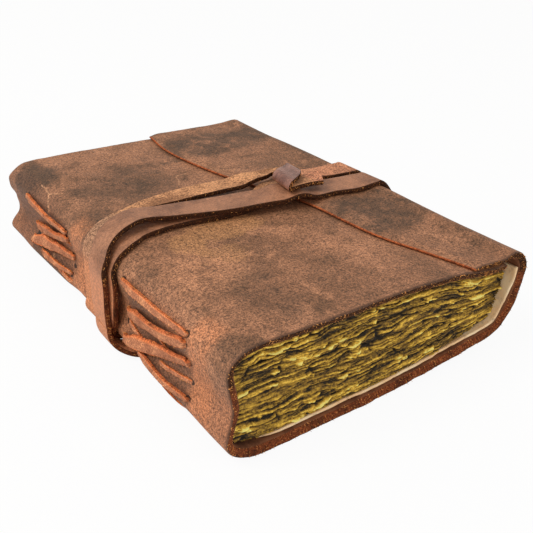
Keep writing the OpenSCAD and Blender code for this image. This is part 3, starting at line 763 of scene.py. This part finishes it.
def make_pages():
    """The sewn pages as one body: torn, layered ends and plain sides."""
    nx, nz = 260, 150
    across, f = np.meshgrid(np.arange(nx + 1) / nx, np.arange(nz + 1) / nz, indexing="ij")
    faces, points, painted_light_and_shade = [], [], []
    for near in (True, False):
        y0 = PAGE_RECESS if near else LENGTH - PAGE_RECESS
        x, z = page_place(across, f, y0)
        reach, shine = torn_ends(x, f, 40 if near else 90)
        forward = 3.0 * (1 - ease(f / 0.42)) * (1 - 0.6 * ease((across - 0.75) / 0.25)) if near else 0
        y = y0 + (1.5 - 1.1 * reach - forward) * (1 if near else -1)
        ends = np.stack([x, y, z], -1)
        made = grid_faces(nx + 1, nz + 1, start=len(points) * ends.shape[0] * ends.shape[1])
        faces += [q[::-1] for q in made] if not near else made
        points.append(ends)
        painted_light_and_shade.append(shine)
    size = (nx + 1) * (nz + 1)
    rim = ([(i, 0) for i in range(nx)] + [(nx, j) for j in range(nz)]
           + [(i, nz) for i in range(nx, 0, -1)] + [(0, j) for j in range(nz, 0, -1)])
    index = [i * (nz + 1) + j for i, j in rim]
    stack = np.concatenate([p.reshape(-1, 3) for p in points])
    shine = np.concatenate([b.ravel() for b in painted_light_and_shade])
    steps, m = 10, len(index)
    side, side_shine = [], []
    ra, rf = np.array([i / nx for i, j in rim]), np.array([j / nz for i, j in rim])
    for k in range(1, steps):
        y = np.full(m, mix(PAGE_RECESS + 0.9, LENGTH - PAGE_RECESS - 0.9, k / steps))
        x, z = page_place(ra, rf, y)
        side.append(np.stack([x, y, z], -1))
        side_shine.append(np.full(m, 0.4))
    base = len(stack)
    stack = np.concatenate([stack] + side)
    shine = np.concatenate([shine] + side_shine)
    rings = [index] + [[base + (k - 1) * m + i for i in range(m)] for k in range(1, steps)]
    rings.append([size + i for i in index])
    for a, b in zip(rings, rings[1:]):
        faces += [[a[i], a[(i + 1) % m], b[(i + 1) % m], b[i]] for i in range(m)]
    piece = solid("page_ends", stack, [q[::-1] for q in faces], [torn_paper()], marks={"reach": shine})
    return finish_piece(piece, "pages", "page_block")


def ribbon(name, centre, half_width, half_thick, corner, finishes, marks, face_cells, shag, seed):
    """A flat strip through stations, with rounded corners and a slightly rough cut edge."""
    across = np.linspace(-1, 1, face_cells)
    upper = [(t * (1 - corner[0]), 1.0) for t in across]
    right = [(1 - corner[0] * (1 - math.sin(a)), 1 - corner[1] * (1 - math.cos(a))) for a in (0.5, 1.1)]
    right += [(1.0, t) for t in (1 - corner[1], 0.0, -(1 - corner[1]))]
    right += [(a, -b) for a, b in reversed(right[:2])]
    left = [(-a, -b) for a, b in right]
    ring = np.array(upper + right + [(-a, -b) for a, b in upper] + left)
    n, m = len(centre), len(ring)
    k = np.arange(n)[:, None]
    edge = ease((np.abs(ring[:, 0]) - (1 - corner[0])) / corner[0])
    rag = 1 + shag * edge[None] * rough(seed, k / 3.0, ring[None, :, 1] * 1.5 + 9 * np.sign(ring[None, :, 0]))
    points = (centre[:, None] + half_width[:, None] * (ring[:, 0] * rag)[..., None]
              + half_thick[:, None] * (ring[:, 1] * np.ones((n, 1)))[..., None])
    faces = grid_faces(n, m, around=True)
    faces.append(list(range(m))[::-1])
    faces.append([(n - 1) * m + i for i in range(m)])
    cut = np.zeros(m, int)
    cut[len(upper):len(upper) + len(right) - 1] = 1
    cut[2 * len(upper) + len(right):] = 1
    which = np.concatenate([np.tile(cut, n - 1), [1, 1]])
    faces = [q[::-1] for q in faces]
    marks = {title: np.broadcast_to(values(k, ring), (n, m)) for title, values in (marks or {}).items()}
    return solid(name, points, faces, finishes, which, marks)


# The strap's route, as in the CAD source: loop places round the book, steps from the fore edge top
TOP_IN = [20, 31, 42, 52, 64, 78, 92, 105]
LOOP = 34
LOOP_A = [10, 15, 19, 22, 23, 24, 25, 26, 27, 28, 34]
LOOP_U = [FIRST_SPINE - 2, FIRST_SPINE + 3, FIRST_SPINE + 9, FIRST_SPINE + 12, FIRST_BACK,
          FIRST_BACK + 1.25, FIRST_BACK + 2.7, FIRST_BACK + 4.2, FIRST_BACK + 5.6,
          FIRST_BACK + 7, FIRST_FLAP - 1]


def top_z(x, y):
    """Height of the outer face over the front, with the flap where it lies."""
    lap = FLAP_GAP + flap_thick(np.maximum(x, flap_x(y)), y)
    return front_z(x, y) + lap * ease((x - flap_x(y) + 12) / 9)


def loop_at(a, y):
    """Place a on the strap's loop round the book, on the cover's outer face."""
    b = a - LOOP * np.floor(a / LOOP)
    w = wide(y)
    s = w / 130
    shape = outline(y)
    corner = curve_each(shape, FIRST_FLAP - 1 + np.minimum(b, 1))
    inset = np.stack([corner_in(y) / s] + [at + 0 * y for at in TOP_IN])[..., None]
    x = np.where(b < 9, w - s * curve_each(inset, np.clip(b - 1, 0, 8))[:, 0], mix(w - s * 105, 16, b - 9))
    top = np.stack([x, top_z(x, y)], -1)
    wall = mix(spine_pt(3, y), spine_pt(9, y), ((b - 15) / 4)[:, None])
    rest = curve_each(shape, np.interp(b, LOOP_A, LOOP_U))
    b = b[:, None]
    return np.where(b <= 1, corner, np.where(b < 10, top, np.where((b > 15) & (b < 19), wall, rest)))


def loop_out(a, y):
    d = loop_at(a + 0.25, y) - loop_at(a - 0.25, y)
    return unit(np.stack([d[:, 1], -d[:, 0]], -1))


COURSE = np.array([
    [4.5, 98.2, 2.6, 5], [5, 98.6, 2.3, 8], [6, 100.4, 2.2, 10.5], [7, 100.6, 2.15, 10.6],
    [8, 100.6, 1.9, 10.2], [9, 101, 1.4, 7.6], [10, 98.4, 1, 9], [11, 95.2, 1, 9.6],
    [12, 93.4, 1, 9.4], [13, 91.8, 1, 9.4], [15, 89.6, 1, 9.5], [19, 90.4, 1, 9.5],
    [22, 91.2, 1, 9.8], [24, 91.2, 1, 10.8], [28, 92, 1, 12.5], [31, 92.3, 1, 13],
    [34, 92.2, 1, 13], [35, 92, 1, 13], [36, 93.2, 1, 12.4], [37, 95.4, 1, 12], [38, 92.8, 1, 12],
    [38.5, 91, 1, 12], [39, 89.2, 1, 12], [40, 85.4, 1, 12], [41, 83.8, 1, 12],
    [42, 85.5, 1, 11.4], [43, 85.2, 1, 11], [44, 83.2, 1, 10.6], [45, 79.6, 1, 10.5],
    [46, 77.4, 1, 10.5], [47, 76.8, 1, 10.8], [49, 74.9, 1, 10.8], [52, 75.4, 1, 10.6],
    [54, 77, 1, 10.2], [56, 79.5, 1, 10], [58, 78.4, 1, 11], [62, 74.6, 1, 12.4], [65, 76, 1, 12],
    [68, 76.6, 1, 12], [69, 76.8, 1.05, 12.6], [70, 77.4, 1, 14.6], [71, 79.2, 1, 13.8],
    [72, 77.8, 1.3, 13.8], [72.5, 78.4, 1.9, 14], [73, 79.8, 2.05, 14.4], [74, 82.3, 2.1, 15],
    [75, 84, 2.1, 14.8], [76, 86.3, 2.2, 13], [77, 87.3, 2.5, 11.5], [78, 88, 2.8, 11.5],
    [79, 85.2, 2.85, 11.5], [80, 83, 2.6, 11.5], [81, 80.6, 2.4, 11.5], [82, 78, 2.2, 11.5],
    [84, 77.9, 2.15, 11.5], [85, 77.8, 2.15, 11.4], [86, 77.3, 2.15, 11.3], [87, 76.2, 2.2, 11.2],
    [88, 74.3, 2.2, 11], [89, 71.7, 2.1, 10.8], [90, 68.5, 1.65, 10.6], [91, 65.8, 1.05, 10.4],
    [92, 63.8, 1, 10.4], [93, 62.6, 1, 10.3], [94, 62.2, 1, 10]])
KNOT = np.array([
    [96.4, 78.6, 3.2, 3.6, 5.6, 0], [93, 78.4, 3.2, 2.4, 5.2, 0], [89, 78.2, 3.2, 0.8, 4.6, 0],
    [84, 78.2, 3.2, 0.3, 5, 0], [80, 78.6, 3.2, 0.6, 6.2, 0], [77.8, 78.9, 3.2, 0.9, 6.8, 0],
    [76.85, 79, 3.383, 1, 6.9, 45], [76.46, 79.1, 3.825, 1, 7, 90],
    [76.85, 79.3, 4.267, 1, 7, 135], [77.8, 79.7, 4.45, 1, 7, 180], [79.8, 80.9, 4.42, 1, 7, 180],
    [82.4, 82.3, 4.38, 1, 6.7, 180], [85.2, 84, 4.42, 0.8, 6.3, 180],
    [87.2, 86, 4.45, 0.6, 5.7, 180], [88.15, 87.2, 4.267, 0.45, 5, 225],
    [88.54, 88.4, 3.825, 0.4, 4.4, 270], [88.15, 89.4, 3.383, 0.4, 3.9, 315],
    [87.2, 90.6, 3.2, 0.5, 3.5, 360], [86, 92.4, 3.05, 0.7, 3.1, 360],
    [84.6, 94.4, 2.85, 0.6, 2.7, 360]])


def layer_d(n):
    """Middle of the n-th layer of strap, out from the cover."""
    return STRAP_GAP + STRAP / 2 + (n - 1) * TURN


def make_strap():
    """One strip: the tied end and the folded knot, then three turns round the book."""
    a = np.arange(4.5, 94.01, 0.125)
    k = curve(COURSE, np.interp(a, COURSE[:, 0], np.arange(len(COURSE))))
    d, half = layer_d(k[:, 2])[:, None], k[:, 3] / 2

    def at(y):
        q = loop_at(k[:, 0], y) + loop_out(k[:, 0], y) * d
        return np.stack([q[:, 0], y, q[:, 1]], -1)

    far, near = at(k[:, 1] + half), at(k[:, 1] - half)
    away = loop_out(k[:, 0], k[:, 1])
    turns = ((far + near) / 2, (far - near) / 2,
             np.stack([away[:, 0], 0 * a, away[:, 1]], -1) * STRAP / 2)
    t = curve(KNOT, np.arange(0, len(KNOT) - 0.999, 0.125))
    slope = (NEAR_THICK - FAR_THICK) / LENGTH
    x, y, turned = t[:, 0] * wide(80) / 128.5, t[:, 1] + 2, np.radians(t[:, 5])
    tied = (np.stack([x, y, top_z(x, y) + layer_d(t[:, 2])], -1),
            np.stack([t[:, 3], t[:, 4], -slope * t[:, 4]], -1),
            np.stack([np.sin(turned), 0 * turned, np.cos(turned)], -1) * STRAP / 2)
    centre, wide_by, thick_by = (np.concatenate([p, q]) for p, q in zip(tied, turns))
    place = np.concatenate([t[:, 5] * 0 - 1, k[:, 0]])
    fold = np.concatenate([t[:, 5], 360 + 0 * k[:, 0]])

    def flesh(_, ring):
        outer = ring[None, :, 1] > 0
        turned_over = (place < 39.5)[:, None]
        mark = np.where(outer == turned_over, 1.0, 0.0)
        edge = ease((place - 10) / 4)[:, None] * (place < 39)[:, None] * 0.25
        return mark - mark * edge

    def knot(_, ring):
        folded = ease((fold - 40) / 60) * (1 - ease((fold - 200) / 90)) * (place < 0)
        return folded[:, None] + 0 * ring[None, :, 0]

    # The strap's cut edges are the cut-edge finish at 0.75 of its brightness, as painted shade, and take more
    # painted shade high on the book.
    piece = ribbon("wound_strap", centre, wide_by, thick_by, (0.09, 0.34),
                   [strap_face(), raw_edge("strap_cut_edge", 0.75, 0.82)],
                   {"flesh": flesh, "knot": knot}, 13, 0.025, 5)
    chance = np.random.default_rng(4)
    at = chance.integers(0, len(centre), STRAP_FIBRES)
    side = np.sign(chance.random(STRAP_FIBRES) - 0.5)[:, None]
    up_edge = chance.random(STRAP_FIBRES)[:, None] * 1.4 - 0.7
    roots = centre[at] + side * wide_by[at] + thick_by[at] * up_edge
    fibres("strap_edge_fibres", roots, side * unit(wide_by[at]), 0.6, "strap_leather", "strap", 32)
    return finish_piece(piece, "strap_leather", "strap")


NEAR_COURSE = [[65, 0.85, 23, 0.87, 2.6], [65, 0.52, 23, 0.79, 5],
               [65, 0.24, 23, 0.6, 4.4], [54, 0.23, 23, 0.28, 2.2]]
FAR_COURSE = [[154, 0.83, 115, 0.79, 2.4], [154, 0.45, 115, 0.7, 4.2],
              [154, 0.28, 115, 0.5, 4.2], [143, 0.23, 115, 0.26, 2]]
SPARE_HOLES = [[62, 0.78], [66, 0.39], [148, 0.72], [153, 0.33], [23, 0.42], [115, 0.36]]


def spine_u(h):
    """Place on the outline at this share of the spine's height."""
    return FIRST_SPINE + np.interp(h, SPINE_H[::-1], np.arange(12, -1, -1))


def cell_u(h):
    """Middle of the outline cell that holds a hole at this height."""
    return (math.floor(spine_u(h) * 2) + 0.5) / 2


def lace(name, courses, node, extra):
    """Thongs laced along the spine, and thin ones that cross under them."""
    strips = []
    d = THONG_GAP + THONG / 2
    for ya, ha, yb, hb, w in courses:
        ua, ub = cell_u(ha), cell_u(hb)
        rows = [(ua, ya, -LEATHER * 0.5, w * 0.5, 90), (ua, ya, 0, w * 0.6, 90),
                (ua, ya - 0.25, d, w * 0.75, 50)]
        for i in range(10):
            g = i / 9
            rows.append((mix(ua, ub, g), mix(ya - 1.8, yb + 1.8, g), d + 0.9 * math.sin(math.pi * g),
                         mix(mix(w * 1.3, w * 0.85, g), w * 0.8, abs(2 * g - 1) ** 9), 0))
        rows += [(ub, yb + 0.25, d, w * 0.6, -50), (ub, yb, 0, w * 0.45, -90),
                 (ub, yb, -LEATHER * 0.5, w * 0.4, -90)]
        strips.append((np.array(rows, float), THONG))
    for ya, ha, yb, hb, w in extra:
        ua, ub = spine_u(ha), spine_u(hb)
        rows = [(mix(ua, ub, g), mix(ya, yb, g), mix(-0.4, 0.35, math.sin(math.pi * g) ** 0.4),
                 w, 8 * math.sin(9 * g)) for g in np.linspace(0, 1, 9)]
        strips.append((np.array(rows, float), THIN_THONG))
    roots, ways = [], []

    def middle(_, ring):
        """1 on the face, less at its upper edge: there the face turns orange, partly for the fuzz and partly
        as painted highlight.
        """
        return ease((ring[None, :, 0] + 0.8) * 2) * ease((1.15 - ring[None, :, 0]) * 3)

    # The thongs' cut edges are the cut-edge finish at 3.2 times its brightness: a painted highlight, with no
    # painted shade high up.
    face, edge = thong_face(), raw_edge("thong_cut_edge", 3.2, 0)
    for number, (rows, thick) in enumerate(strips):
        s = curve(rows, np.arange(0, len(rows) - 0.999, 0.1))
        u, y, d_s, w, turned = s.T
        shape = outline(y)
        out2 = outward(shape, u, each=True)
        q = curve_each(shape, u) + out2 * d_s[:, None]
        out3 = np.stack([out2[:, 0], 0 * y, out2[:, 1]], -1)
        e = unit(np.stack([out3[:, 2], 0 * y, -out3[:, 0]], -1))
        turned = np.radians(turned)[:, None]
        t = unit(out3 * np.cos(turned) + np.array([0, 1, 0]) * np.sin(turned))
        centre = np.stack([q[:, 0], y, q[:, 1]], -1)
        sway = 0.3 * lumps(60 + number, np.arange(len(y)) / 22.0)[:, None]
        centre = centre + e * sway * hold(w / 2 - 0.4)[:, None]
        piece = ribbon(f"{name}_thong_{number + 1}", centre, -e * w[:, None] / 2, t * thick / 2, (0.22, 0.5),
                       [face, edge], {"middle": middle},
                       9, 0.09, 70 + number)
        finish_piece(piece, "thong_leather", node)
        chance = np.random.default_rng(80 + number)
        at = chance.integers(0, len(y), FIBRES_A_STATION * len(rows))
        side = np.sign(chance.random(len(at)) - 0.35)[:, None]
        roots.append(centre[at] + side * (e * w[:, None])[at] * 0.5
                     + (t * thick)[at] * (chance.random(len(at))[:, None] * 0.6 - 0.2))
        ways.append(side * e[at] + 0.6 * t[at])
    fibres(f"{name}_lacing_fibres", np.concatenate(roots), np.concatenate(ways), 0.55,
           "thong_leather", node, 33)


# ---------------------------------------------------------------- camera and light

def set_camera():
    """The photograph's view: 52 mm lens, a little rolled."""
    az, el, roll = math.radians(-37.43), math.radians(29.48), math.radians(3.12)
    target, distance = Vector((-0.00184, -0.02238, 0.0192)), 0.30196
    back = Vector((math.sin(az) * math.cos(el), -math.cos(az) * math.cos(el), math.sin(el)))
    right = Vector((0, 0, 1)).cross(back).normalized()
    up = back.cross(right)
    across = math.cos(roll) * right + math.sin(roll) * up
    top = -math.sin(roll) * right + math.cos(roll) * up
    lens = bpy.data.cameras.new("photo_view")
    lens.sensor_width, lens.lens = 36.0, 52.17
    lens.clip_start, lens.clip_end = 0.01, 20
    camera = bpy.data.objects.new("photo_view", lens)
    camera.matrix_world = Matrix.Translation(target + back * distance) @ Matrix(
        (across, top, back)).transposed().to_4x4()
    bpy.context.scene.collection.objects.link(camera)
    bpy.context.scene.camera = camera


def set_stage():
    """Pale floor and soft light. The camera sees the floor nearly white, with the book's shadow."""
    p = Paint("pale_floor")
    diffuse = p.node("ShaderNodeBsdfDiffuse", {}, {"Color": (0.8, 0.8, 0.8, 1)})
    glow = p.node("ShaderNodeEmission", {}, {"Color": (1, 1, 1, 1), "Strength": 1.0})
    seen = p.node("ShaderNodeLightPath", {}, {}, "Is Camera Ray")
    both = p.node("ShaderNodeMixShader", {}, {0: seen * 0.93, 1: diffuse, 2: glow})
    p.node("ShaderNodeOutputMaterial", {}, {"Surface": both})
    mesh = bpy.data.meshes.new("floor")
    r = 4.0
    mesh.from_pydata([(-r, -r, 0), (r, -r, 0), (r, r, 0), (-r, r, 0)], [], [(0, 1, 2, 3)])
    mesh.materials.append(p.material)
    floor = bpy.data.objects.new("floor", mesh)
    floor.location.z = -0.0002
    bpy.context.scene.collection.objects.link(floor)

    world = bpy.data.worlds.new("studio")
    bpy.context.scene.world = world
    world.use_nodes = True
    tree = world.node_tree
    tree.nodes.clear()
    seen = tree.nodes.new("ShaderNodeLightPath")
    soft, white = (tree.nodes.new("ShaderNodeBackground") for _ in range(2))
    soft.inputs[0].default_value, soft.inputs[1].default_value = (1.0, 0.965, 0.91, 1), 0.62
    white.inputs[0].default_value, white.inputs[1].default_value = (1, 1, 1, 1), 1.0
    both, out = tree.nodes.new("ShaderNodeMixShader"), tree.nodes.new("ShaderNodeOutputWorld")
    tree.links.new(seen.outputs["Is Camera Ray"], both.inputs[0])
    tree.links.new(soft.outputs[0], both.inputs[1])
    tree.links.new(white.outputs[0], both.inputs[2])
    tree.links.new(both.outputs[0], out.inputs[0])

    for name, place, size, power in (("window", (-0.75, 0.15, 0.95), 0.55, 7.5),
                                     ("fill", (0.25, -1.1, 0.5), 0.8, 3.2)):
        lamp = bpy.data.lights.new(name, "AREA")
        lamp.size, lamp.energy = size, power
        light = bpy.data.objects.new(name, lamp)
        light.location = place
        light.rotation_euler = (-Vector(place)).to_track_quat("-Z", "Y").to_euler()
        bpy.context.scene.collection.objects.link(light)


set_camera()
make_cover()
make_lining()
make_pages()
make_strap()
lace("near", NEAR_COURSE, "near_lacing",
     [[66, 0.39, 47, 0.31, 1.8], [50, 0.6, 33, 0.44, 1.5], [31, 0.74, 23, 0.8, 2.0],
      [43, 0.31, 23, 0.41, 1.6], [52, 0.2, 26, 0.1, 2.0]])
lace("far", FAR_COURSE, "far_lacing",
     [[142, 0.47, 130, 0.36, 1.4], [128, 0.62, 114, 0.64, 1.8], [131, 0.24, 113, 0.19, 1.8]])
set_stage()

bpy.context.scene.view_settings.view_transform = "Standard"
